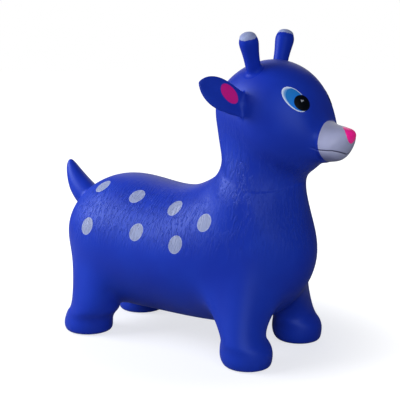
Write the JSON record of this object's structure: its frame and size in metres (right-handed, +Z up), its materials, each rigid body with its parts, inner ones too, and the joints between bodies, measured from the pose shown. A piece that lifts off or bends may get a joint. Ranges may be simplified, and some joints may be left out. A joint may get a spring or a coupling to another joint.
{
  "type": "bouncy ride on animal",
  "caption": "Air-filled soft plastic fawn to sit on and bounce, with stub legs, small horns and ears to hold, a thorn tail, a painted face and pale spots.",
  "frame": {"origin": "on the floor, under the middle of the animal's bounding box", "axes": "+X to the muzzle, +Y to the animal's left, +Z up"},
  "size_m": [0.6107, 0.3012, 0.5603],
  "materials": {
    "blue_skin": "satin, finely grooved",
    "pale_paint": "satin",
    "pink_paint": "satin",
    "eye_pale": "gloss",
    "iris_blue": "gloss",
    "pupil_black": "gloss",
    "glint_grey": "gloss",
    "valve_plastic": "matte"
  },
  "bodies": {
    "feet": {"left_front_foot": "blue_skin", "right_front_foot": "blue_skin", "left_rear_foot": "blue_skin", "right_rear_foot": "blue_skin", "left_front_leg": "blue_skin", "right_front_leg": "blue_skin", "left_rear_leg": "blue_skin", "right_rear_leg": "blue_skin"},
    "torso": {"torso_skin": "blue_skin", "neck_skin": "blue_skin", "head_skin": "blue_skin", "muzzle_skin": "pale_paint", "nose": "pink_paint", "valve_bush": "valve_plastic", "left_horn_root": "blue_skin", "right_horn_root": "blue_skin", "left_ear_root": "blue_skin", "right_ear_root": "blue_skin", "tail_root": "blue_skin", "left_eye_white": "eye_pale", "left_iris": "iris_blue", "left_pupil": "pupil_black", "left_eye_glint": "glint_grey", "right_eye_white": "eye_pale", "right_iris": "iris_blue", "right_pupil": "pupil_black", "right_eye_glint": "glint_grey", "left_spot_1": "pale_paint", "left_spot_2": "pale_paint", "left_spot_3": "pale_paint", "left_spot_4": "pale_paint", "left_spot_5": "pale_paint", "left_spot_6": "pale_paint", "left_spot_7": "pale_paint", "right_spot_1": "pale_paint", "right_spot_2": "pale_paint", "right_spot_3": "pale_paint", "right_spot_4": "pale_paint", "right_spot_5": "pale_paint", "right_spot_6": "pale_paint", "right_spot_7": "pale_paint"},
    "left_horn": {"left_horn": "blue_skin", "left_horn_tip": "pale_paint"},
    "right_horn": {"right_horn": "blue_skin", "right_horn_tip": "pale_paint"},
    "left_ear": {"left_ear": "blue_skin", "left_ear_lining": "pink_paint"},
    "right_ear": {"right_ear": "blue_skin", "right_ear_lining": "pink_paint"},
    "tail": {"tail": "blue_skin"},
    "stopper": {"stopper": "valve_plastic"}
  },
  "joints": [
    {"name": "bounce", "type": "slide", "parent": "feet", "child": "torso", "axis": [0, 0, -1], "range_m": [0, 0.018], "stiffness_N_per_m": 12000, "springref_m": -0.0011, "deforming": ["left_front_leg", "right_front_leg", "left_rear_leg", "right_rear_leg"]},
    {"name": "left_horn_flex", "type": "hinge", "parent": "torso", "child": "left_horn", "pos_m": [0.1384, 0.0424, 0.497], "axis": [0, 0.9397, -0.3419], "range_deg": [-15, 15], "stiffness_Nm_per_rad": 0.3, "deforming": ["left_horn_root"]},
    {"name": "right_horn_flex", "type": "hinge", "parent": "torso", "child": "right_horn", "pos_m": [0.1384, -0.0424, 0.497], "axis": [0, 0.9397, 0.3419], "range_deg": [-15, 15], "stiffness_Nm_per_rad": 0.3, "deforming": ["right_horn_root"]},
    {"name": "left_ear_flex", "type": "hinge", "parent": "torso", "child": "left_ear", "pos_m": [0.1383, 0.0795, 0.4417], "axis": [0, 0.5132, -0.8583], "range_deg": [-15, 30], "stiffness_Nm_per_rad": 0.8, "deforming": ["left_ear_root"]},
    {"name": "right_ear_flex", "type": "hinge", "parent": "torso", "child": "right_ear", "pos_m": [0.1383, -0.0795, 0.4417], "axis": [0, 0.5132, 0.8583], "range_deg": [-15, 30], "stiffness_Nm_per_rad": 0.8, "deforming": ["right_ear_root"]},
    {"name": "tail_flex", "type": "hinge", "parent": "torso", "child": "tail", "pos_m": [-0.2571, 0, 0.2346], "axis": [0, 1, 0], "range_deg": [-15, 15], "stiffness_Nm_per_rad": 0.4, "deforming": ["tail_root"]},
    {"name": "stopper_pull", "type": "slide", "parent": "torso", "child": "stopper", "axis": [0, 0, -1], "range_m": [0, 0.018]}
  ]
}
